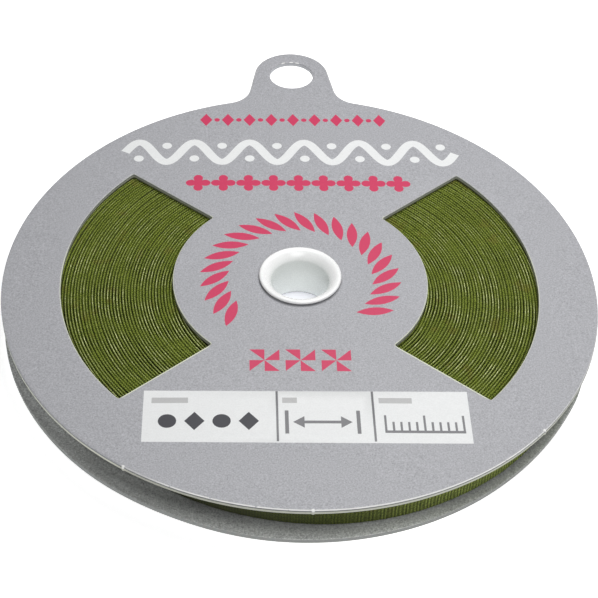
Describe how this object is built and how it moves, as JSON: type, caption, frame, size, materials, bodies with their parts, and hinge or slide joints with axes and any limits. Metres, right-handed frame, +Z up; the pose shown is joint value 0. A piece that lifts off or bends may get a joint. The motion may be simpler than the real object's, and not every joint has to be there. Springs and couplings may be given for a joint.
{
  "type": "roll of bias binding",
  "caption": "Folded bias binding wound flat between two grey card discs, riveted by a white eyelet, with windows that show the tape and a tab to hang it by.",
  "frame": {"origin": "middle of the outline seen from above, on the surface that the reel lies on", "axes": "+Z up out of the printed card, +Y towards the hang tab, +X to the right of the printed face"},
  "size_m": [0.095, 0.109, 0.0095],
  "materials": {
    "grey_board": "smooth printed board, satin",
    "olive_tape": "plain weave cut on the bias, matte",
    "white_plastic": "glossy moulded plastic"
  },
  "bodies": {
    "root": {"upper_card": "grey_board", "lower_card": "grey_board", "tape_roll": "olive_tape", "eyelet": "white_plastic"}
  },
  "joints": []
}
